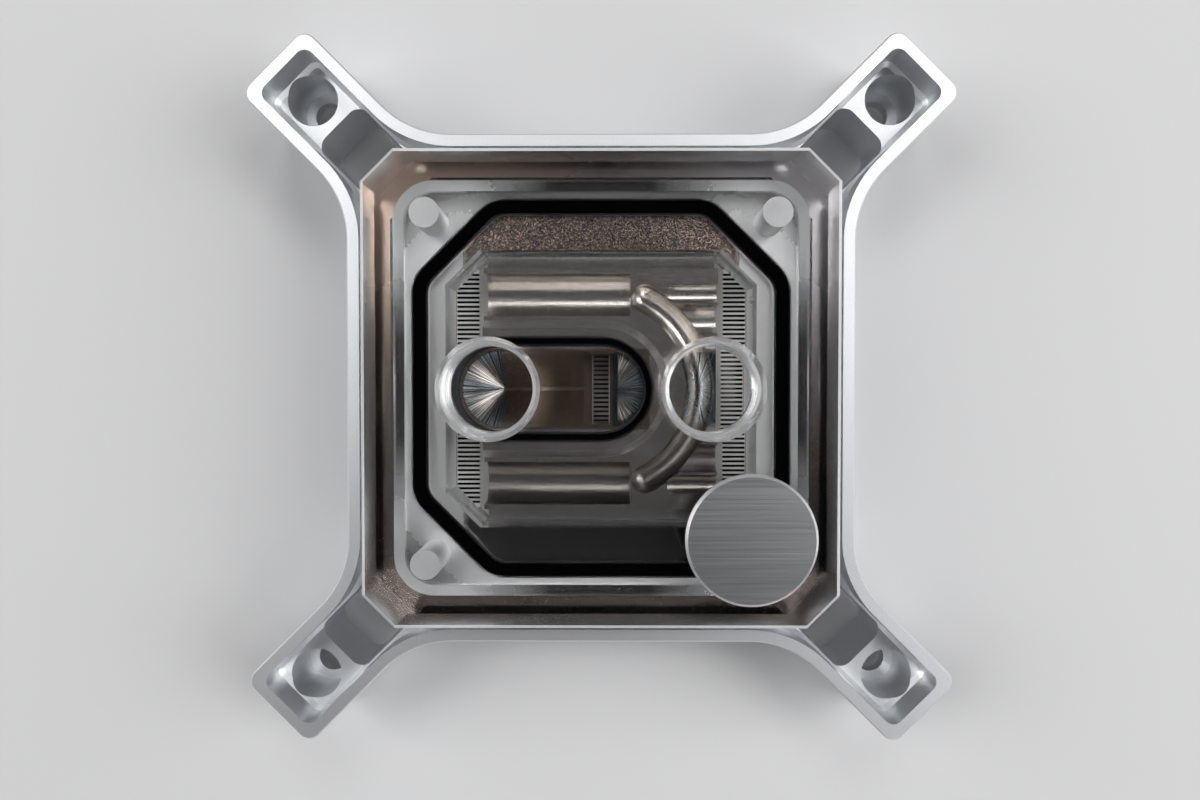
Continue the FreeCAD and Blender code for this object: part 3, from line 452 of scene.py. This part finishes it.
insertSet = {
    # Levels and places, in mm
    "coneApex": 13.6,           # from the middle to each end, where its fan of marks starts
    "coneRadius": 5.2,
    "farApex": 1.6,             # the same for the cone beside the well
    "bendX": 0.8,               # the middle of the trough's round end
    "channelTop": 12.45,        # the milled channels lie below this level
    "channelReach": 16.3,       # and inside this, along y
    "troughEnd": 6.5,
    "troughHalf": 5.4,
    "dullShadeReach": (-6.0, 0.0),   # along y, where the lower channels' dullness and painted shade fade
    # Colours
    "colours": ((0.66, 0.61, 0.57), (0.84, 0.80, 0.76)),
    # painted shade: the lower channels are painted darker than the upper ones
    "dullShadeColour": (0.24, 0.22, 0.205),
    "dullShadeShare": 0.8,
    # painted shade in the trough
    "troughShadeColour": (0.47, 0.39, 0.325),
    # painted highlights and painted shade: the cones' turning marks are coloured as bright and dark
    # streaks, and the far cone's are dimmer, painted shade beside the well
    "coneGlintColours": ((0.08, 0.085, 0.09), (0.74, 0.80, 0.86)),
    "farConeGlintColours": ((0.06, 0.065, 0.07), (0.36, 0.39, 0.42)),
    # Grain
    "streaks": 56.0,            # in half a turn
    "streakSpan": (0.38, 0.66),
    "marks": (300.0, 5000.0, 1500.0),       # per metre along x, y and z
    "markDepth": 0.008,         # mm
    "sparkleGrain": 4500.0,
    "sparkleDepth": 0.022,      # mm, in the channels
    "flatSparkle": 0.01,        # share of it elsewhere
    # Roughness
    "roughness": (0.18, 0.26),
    "channelRoughness": 0.02,   # added
    "dullRoughness": 0.09,
}


def turnedRays(tree, x, y, values):
    angle = addMath(tree, "ARCTAN2", y, x)
    turns = times(tree, angle, values["streaks"] / math.pi)
    return addNoise(tree, alongLine(tree, turns), 1.0, detail=1.0)


def insertZones(tree, point, values):
    x, y, z = splitPoint(tree, point)
    coneX = minus(tree, values["coneApex"] * mm, absolute(tree, x))
    farX = minus(tree, x, values["farApex"] * mm)
    bendX = minus(tree, x, values["bendX"] * mm)
    trough = times(tree, below(tree, x, values["troughEnd"]),
                   within(tree, y, values["troughHalf"]))
    low = times(tree, below(tree, z, values["channelTop"]),
                within(tree, y, values["channelReach"]))
    channel = times(tree, low, opposite(tree, trough))
    shadeAndDullShare = mapReach(tree, y, values["dullShadeShare"], 0.0, values["dullShadeReach"])
    farSide = times(tree, trough, above(tree, farX, 0.0))
    return {
        "trough": trough,
        "channel": channel,
        "dullAndShade": times(tree, channel, shadeAndDullShare),
        "cone": times(tree, withinRadius(tree, coneX, y, values["coneRadius"]),
                      below(tree, coneX, 0.0)),
        "coneRays": turnedRays(tree, coneX, y, values),
        "farCone": times(tree, farSide, withinRadius(tree, bendX, y, values["coneRadius"])),
        "farRays": turnedRays(tree, farX, y, values),
    }


def insertColour(tree, marks, zones, values):
    colour = mixColours(tree, marks, *values["colours"])
    # painted shade on the lower channels
    colour = mixColours(tree, zones["dullAndShade"], colour, values["dullShadeColour"])
    # painted shade in the trough
    colour = mixColours(tree, zones["trough"], colour, values["troughShadeColour"])
    # painted highlights and painted shade in the cones' streaks
    for cone, rays, colours in (("farCone", "farRays", "farConeGlintColours"),
                                ("cone", "coneRays", "coneGlintColours")):
        streaks = mapTo(tree, zones[rays], 0.0, 1.0, *values["streakSpan"])
        colour = mixColours(tree, zones[cone], colour,
                            mixColours(tree, streaks, *values[colours]))
    return colour


def milledNickel(values):
    material, tree, shader = newMaterial("milledNickel", metallic=1.0)
    point = objectPoint(tree)
    zones = insertZones(tree, point, values)
    grain = addNoise(tree, point, values["sparkleGrain"], detail=3.0, roughness=0.6)
    marks = addNoise(tree, objectPoint(tree, scale=values["marks"]), 1.0)

    height = plus(tree, times(tree, zones["cone"], zones["coneRays"]),
                  times(tree, opposite(tree, zones["cone"]), marks))
    normal = addBump(tree, height, values["markDepth"])
    sparkle = times(tree, grain, plus(tree, values["flatSparkle"], zones["channel"]))
    normal = addBump(tree, sparkle, values["sparkleDepth"], before=normal)

    roughness = plus(tree, mapTo(tree, grain, *values["roughness"]),
                     plus(tree, times(tree, zones["channel"], values["channelRoughness"]),
                          times(tree, zones["dullAndShade"], values["dullRoughness"])))
    connect(tree, shader, insertColour(tree, marks, zones, values), roughness, normal)
    return material


# Jet plate, screws, seals and the badge's pad: one finish each, with a fine grain

plainSet = {
    "sheetSteel": {
        "metallic": 1.0,
        "grain": 6000.0,
        "stretch": 1.0,         # finer along z by this much
        "colours": ((0.60, 0.59, 0.56), (0.68, 0.67, 0.64)),
        "roughness": (0.40, 0.55),
    },
    "turnedSteel": {
        "metallic": 1.0,
        "grain": 3000.0,
        "stretch": 6.0,
        "colours": ((0.55, 0.55, 0.56), (0.64, 0.64, 0.65)),
        "roughness": (0.22, 0.36),
    },
    "blackRubber": {
        "metallic": 0.0,
        "grain": 5000.0,
        "stretch": 1.0,
        "colours": ((0.013, 0.014, 0.018), (0.022, 0.024, 0.030)),
        "roughness": (0.45, 0.60),
    },
    "padFoam": {
        "metallic": 0.0,
        "grain": 5000.0,
        "stretch": 1.0,
        "colours": ((0.05, 0.05, 0.05), (0.09, 0.09, 0.09)),
        "roughness": (0.8, 0.8),
    },
}


def plainFinish(name):
    values = plainSet[name]
    material, tree, shader = newMaterial(name, metallic=values["metallic"])
    point = objectPoint(tree, scale=(1.0, 1.0, values["stretch"]))
    fine = addNoise(tree, point, values["grain"])
    colour = mixColours(tree, fine, *values["colours"])
    connect(tree, shader, colour, mapTo(tree, fine, *values["roughness"]))
    return material


# Badge: brushed along x, with a bright turned edge

badgeSet = {
    "edge": 0.35,               # mm, width of the turned edge
    "lines": (60.0, 12000.0, 300.0),        # per metre along x, y and z
    "faceColours": ((0.41, 0.415, 0.43), (0.54, 0.545, 0.56)),
    "edgeColour": (0.95, 0.95, 0.96),
    "roughness": (0.33, 0.40),
    "depth": 0.0006,            # mm
}


def brushedFace(values):
    material, tree, shader = newMaterial("brushedFace", metallic=1.0)
    low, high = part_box("badge")
    middle = (low + high) / 2
    faceRadius = (high.x - low.x) / 2 - values["edge"] * mm
    x, y = splitPoint(tree, objectPoint(tree, place=(-middle.x, -middle.y, 0.0)))[:2]
    fromMiddle = addMath(tree, "SQRT", squaredDistance(tree, x, y))
    edge = addMath(tree, "GREATER_THAN", fromMiddle, faceRadius)
    lines = addNoise(tree, objectPoint(tree, scale=values["lines"]), 1.0)
    face = mixColours(tree, lines, *values["faceColours"])
    connect(tree, shader, mixColours(tree, edge, face, values["edgeColour"]),
            mapTo(tree, lines, *values["roughness"]), addBump(tree, lines, values["depth"]))
    return material


def dress(names, material):
    for name in names:
        data = nodes[name].data
        data.materials.clear()
        data.materials.append(material)


dress(["frame"], satinAluminium(frameSet))
dress(["cold_plate"], nickelPlate(plateSet))
dress(["flow_insert"], milledNickel(insertSet))
dress(["jet_plate"], plainFinish("sheetSteel"))
dress(["main_seal", "inlet_seal"], plainFinish("blackRubber"))
dress(["clamp_screw_%d" % number for number in range(1, 5)], plainFinish("turnedSteel"))
dress(["badge"], brushedFace(badgeSet))
dress(["badge_pad"], plainFinish("padFoam"))
print("CAD nodes dressed")


# Clear top: polished acrylic with milled, frosted and drilled faces

acrylicSet = {
    "refraction": 1.49,
    "polishedTint": (0.99, 0.993, 0.995),
    "milledTint": (0.98, 0.985, 0.99),
    "arcTint": (0.985, 0.99, 0.993),
    "smearGrain": 120.0,
    "smearRoughness": (0.0, 0.006),
    "frostSpread": (0.93, 1.05),            # least and most of a finish's frost
    "roughnessSpread": (0.92, 1.08),
}

finishSet = {
    # name: (share of frost, silver sheen, roughness, grain per metre along x, y and z, depth in mm)
    "milledAcrylic": (0.40, 0.5, 0.30, (800.0, 800.0, 800.0), 0.0006),
    "ridgedAcrylic": (0.13, 0.5, 0.20, (6000.0, 6000.0, 60.0), 0.0004),
    "drilledAcrylic": (0.62, 0.3, 0.35, (900.0, 900.0, 4000.0), 0.02),
    "threadedAcrylic": (0.22, 0.4, 0.22, (300.0, 300.0, 6000.0), 0.006),
    "seatAcrylic": (0.60, 0.6, 0.40, (1500.0, 1500.0, 1500.0), 0.001),
    "islandAcrylic": (0.95, 0.85, 0.42, (1500.0, 1500.0, 1500.0), 0.001),
    "reliefAcrylic": (0.74, 0.60, 0.40, (1500.0, 1500.0, 1500.0), 0.001),
    "bevelAcrylic": (0.55, 0.3, 0.25, (1500.0, 1500.0, 1500.0), 0.0006),
}

frostSet = {
    # Reaches in mm over which the frost changes, each with the least share of it that is left
    "seatSides": (18.6, 19.6),
    "wallSides": (12.0, 19.4),
    "sidesLeast": 0.05,
    "islandTop": (4.0, 16.0),           # along y, where the frost thins towards the top as painted shade
    "islandTopLeast": 0.30,
    "islandSlope": 0.8,                 # how far the sides count against that height, as a share
    "islandCorner": (43.0, 50.0),       # as x + y
    "islandCornerLeast": 0.40,
    # painted shade: the relief keeps its frost near the corners only, so the middles of its sides
    # show dark
    "reliefCorners": (7.0, 19.0),
    "reliefLeast": 0.03,
}

arcSet = {
    "centre": (9.0, -26.0),     # mm, of the milling cutter's arcs on the chamber's ceiling
    "grain": 1800.0,
    "roughness": (0.0, 0.015),
    "depth": 0.0005,            # mm
}


def newAcrylic(name, tint):
    material, tree, shader = newMaterial(name)
    shader.inputs["Base Color"].default_value = (*tint, 1.0)
    shader.inputs["Transmission Weight"].default_value = 1.0
    shader.inputs["IOR"].default_value = acrylicSet["refraction"]
    return material, tree, shader


def polishedAcrylic(values):
    material, tree, shader = newAcrylic("polishedAcrylic", values["polishedTint"])
    smear = addNoise(tree, objectPoint(tree), values["smearGrain"], detail=3.0)
    tree.links.new(mapTo(tree, smear, *values["smearRoughness"]), shader.inputs["Roughness"])
    return material


def arcAcrylic(values):
    material, tree, shader = newAcrylic("arcAcrylic", acrylicSet["arcTint"])
    centreX, centreY = values["centre"]
    point = objectPoint(tree, place=(-centreX * mm, -centreY * mm, 0.0))
    x, y = splitPoint(tree, point)[:2]
    radius = addMath(tree, "SQRT", squaredDistance(tree, x, y))
    arcs = addNoise(tree, alongLine(tree, radius), values["grain"], detail=1.0)
    tree.links.new(mapTo(tree, arcs, *values["roughness"]), shader.inputs["Roughness"])
    tree.links.new(addBump(tree, arcs, values["depth"]), shader.inputs["Normal"])
    return material


def frostOnSides(tree, x, y, reach):
    return mapReach(tree, absolute(tree, x), frostSet["sidesLeast"], 1.0, reach)


# painted shade: the island's frost thins towards its top, which darkens it there; it also thins at
# the corners
def frostAwayFromTop(tree, x, y, reach):
    height = minus(tree, y, times(tree, absolute(tree, x), frostSet["islandSlope"]))
    lower = mapReach(tree, height, 1.0, frostSet["islandTopLeast"], reach)
    offCorner = mapReach(tree, bothSides(tree, x, y), 1.0, frostSet["islandCornerLeast"],
                         frostSet["islandCorner"])
    return times(tree, lower, offCorner)


# painted shade: the relief's frost thins along the middles of its sides, which darkens them
def frostNearCorners(tree, x, y, reach):
    nearer = addMath(tree, "MINIMUM", absolute(tree, x), absolute(tree, y))
    return mapReach(tree, nearer, frostSet["reliefLeast"], 1.0, reach)


def milledAcrylic(name, where=None, reach=None):
    frost, sheen, roughness, grain, depth = finishSet[name]
    material, tree, shader = newAcrylic(name, acrylicSet["milledTint"])
    marks = addNoise(tree, objectPoint(tree, scale=grain), 1.0, detail=3.0, roughness=0.6)
    share = mapTo(tree, marks, *[frost * spread for spread in acrylicSet["frostSpread"]])
    rough = mapTo(tree, marks, *[roughness * spread for spread in acrylicSet["roughnessSpread"]])
    if where is not None:
        x, y = splitPoint(tree, objectPoint(tree))[:2]
        place = where(tree, x, y, reach)
        share = times(tree, share, place)
        rough = times(tree, rough, place)
    tree.links.new(opposite(tree, share), shader.inputs["Transmission Weight"])
    tree.links.new(times(tree, share, sheen), shader.inputs["Metallic"])
    tree.links.new(rough, shader.inputs["Roughness"])
    tree.links.new(addBump(tree, marks, depth), shader.inputs["Normal"])
    return material


def clearTopFinishes():
    finishes = [
        polishedAcrylic(acrylicSet),
        milledAcrylic("milledAcrylic", frostOnSides, frostSet["wallSides"]),
        milledAcrylic("ridgedAcrylic"),
        milledAcrylic("drilledAcrylic"),
        milledAcrylic("threadedAcrylic"),
        milledAcrylic("seatAcrylic", frostOnSides, frostSet["seatSides"]),
        milledAcrylic("islandAcrylic", frostAwayFromTop, frostSet["islandTop"]),
        milledAcrylic("reliefAcrylic", frostNearCorners, frostSet["reliefCorners"]),
        arcAcrylic(arcSet),
        milledAcrylic("bevelAcrylic"),
    ]
    return {material.name: material for material in finishes}


threadSet = {
    # mm, unless a note says otherwise
    "portOffset": 14.6,         # from the middle to each port, along x
    "boreRadius": 5.72,
    "rootRadius": 6.45,
    "pitch": 1.337,
    "bottom": 14.9,
    "crestHalf": 0.10,          # half the flat left at the groove's outer end
    "mouthHalf": 0.58,          # half the groove's width at the bore's wall
    "boreShare": 0.97,          # of the bore's radius, where the groove's profile starts
    "turns": 4,
    "stepsPerTurn": 64,
}


def makeThreadCutter(values):
    cutter = bmesh.new()
    inner, root = values["boreRadius"] * values["boreShare"], values["rootRadius"]
    steps = values["turns"] * values["stepsPerTurn"]
    rise = values["pitch"] * values["turns"] / steps * mm
    for side in (-1, 1):
        centre = Vector((values["portOffset"] * side, 0.0, 0.0))
        corners = []
        for radius, height in ((inner, -values["mouthHalf"]), (root, -values["crestHalf"]),
                               (root, values["crestHalf"]), (inner, values["mouthHalf"])):
            corner = centre + Vector((radius, 0.0, values["bottom"] + height))
            corners.append(cutter.verts.new(corner * mm))
        profile = cutter.faces.new(corners)
        bmesh.ops.spin(cutter, geom=[profile, *profile.edges, *profile.verts], cent=centre * mm,
                       axis=(0.0, 0.0, 1.0), dvec=(0.0, 0.0, rise),
                       angle=math.tau * values["turns"], steps=steps, use_merge=False)
    openEdges = [edge for edge in cutter.edges if edge.is_boundary]
    if openEdges:
        bmesh.ops.holes_fill(cutter, edges=openEdges)
    bmesh.ops.recalc_face_normals(cutter, faces=cutter.faces)
    mesh = bpy.data.meshes.new("threadCutter")
    cutter.to_mesh(mesh)
    cutter.free()
    tool = bpy.data.objects.new("threadCutter", mesh)
    bpy.context.scene.collection.objects.link(tool)
    return tool


def cutThread(piece, values):
    tool = makeThreadCutter(values)
    change = piece.modifiers.new("thread", "BOOLEAN")
    change.operation = "DIFFERENCE"
    change.solver = "EXACT"
    change.object = tool
    evaluated = piece.evaluated_get(bpy.context.evaluated_depsgraph_get())
    cut = bpy.data.meshes.new_from_object(evaluated)
    piece.modifiers.remove(change)
    piece.data = cut
    bpy.data.objects.remove(tool)


clearTopSet = {
    # mm, unless a note says otherwise
    "contactGap": 0.02,         # between its underside and the metal below
    "undersideMargin": 0.01,    # what lies this near to its lowest level is its underside
    "weld": 0.002,
    "sharpAngle": 25.0,         # degrees
    "ceiling": 14.2,            # of the water chamber
    "landLevel": 5.9,           # the seat and the island lie below this level
    "reliefLevel": 7.0,
    "bevelLevel": 20.0,         # the outer bevel lies above this level
    "tapFloor": 6.0,            # the tapped holes lie above this level
    "tapReach": 2.3,            # and this near to a clamp screw's axis
    "drilledRise": 3.0,         # a tapped hole is drilled up to this far above the ceiling
    "wallReach": 30.0,          # past this lie the outer walls
    "wallDiagonal": 56.0,       # and across the corners, as x + y
    "portReach": 8.0,
    "islandReach": 28.0,
    "sealMiddle": 25.2,         # the main seal's middle line, along the sides
    "sealDiagonal": 40.0,       # and across the corners, as x + y
    "levelMargin": 0.05,
    "portMargin": 0.1,
    # Upright part of a face's normal
    "uprightBelow": 0.5,        # on walls
    "levelAbove": 0.95,         # on level faces
    "bevelAbove": 0.3,
}


def pickFinish(face, values, tapOffset):
    centre = face.calc_center_median() / mm
    x, y, z = abs(centre.x), abs(centre.y), centre.z
    farther, diagonal = max(x, y), x + y
    slope = face.normal.z
    upright = abs(slope) < values["uprightBelow"]
    outer = farther > values["wallReach"] or diagonal > values["wallDiagonal"]
    inTap = math.hypot(x - tapOffset, y - tapOffset) < values["tapReach"]
    inPort = math.hypot(x - threadSet["portOffset"], y) < values["portReach"]
    if inTap and z > values["tapFloor"]:
        drilled = z < values["ceiling"] + values["drilledRise"]
        return "drilledAcrylic" if drilled else "polishedAcrylic"
    if outer and z > values["bevelLevel"] and values["bevelAbove"] < slope < values["levelAbove"]:
        return "bevelAcrylic"
    if z < values["landLevel"]:
        if farther > values["islandReach"]:
            return "polishedAcrylic"
        pastSeal = farther > values["sealMiddle"] or diagonal > values["sealDiagonal"]
        return "islandAcrylic" if pastSeal else "seatAcrylic"
    if upright and outer:
        return "ridgedAcrylic"
    if inPort and z > values["ceiling"] + values["portMargin"] and abs(slope) < values["levelAbove"]:
        return "threadedAcrylic"
    if upright and z < values["ceiling"]:
        return "milledAcrylic"
    if abs(z - values["reliefLevel"]) < values["levelMargin"]:
        return "reliefAcrylic"
    if abs(z - values["ceiling"]) < values["levelMargin"]:
        return "arcAcrylic"
    return "polishedAcrylic"


def copyClearTop(values):
    bm = bmesh.new()
    bm.from_mesh(nodes["clear_top"].data)
    bmesh.ops.remove_doubles(bm, verts=bm.verts, dist=values["weld"] * mm)
    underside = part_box("clear_top")[0].z
    for vert in bm.verts:
        if vert.co.z < underside + values["undersideMargin"] * mm:
            vert.co.z += values["contactGap"] * mm
    bmesh.ops.recalc_face_normals(bm, faces=bm.faces)
    mesh = bpy.data.meshes.new("clearTop")
    bm.to_mesh(mesh)
    bm.free()
    piece = bpy.data.objects.new("clearTop", mesh)
    bpy.context.scene.collection.objects.link(piece)
    return piece


def dressClearTop(mesh, values):
    screwLow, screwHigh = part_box("clamp_screw_1")
    tapOffset = abs(screwLow.x + screwHigh.x) / 2 / mm
    mesh.materials.clear()
    finishes = clearTopFinishes()
    for material in finishes.values():
        mesh.materials.append(material)
    order = list(finishes)
    bm = bmesh.new()
    bm.from_mesh(mesh)
    for face in bm.faces:
        face.smooth = True
        face.material_index = order.index(pickFinish(face, values, tapOffset))
    bm.to_mesh(mesh)
    bm.free()
    stored = mesh.attributes.get("custom_normal")
    if stored is not None:
        mesh.attributes.remove(stored)
    mesh.set_sharp_from_angle(angle=math.radians(values["sharpAngle"]))


def makeClearTop(values):
    piece = copyClearTop(values)
    cutThread(piece, threadSet)
    piece.data.name = "clearTop"
    dressClearTop(piece.data, values)
    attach(piece, "root")
    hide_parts("clear_top")
    return piece


clearTop = makeClearTop(clearTopSet)
print("clear top made:", len(clearTop.data.polygons), "faces")
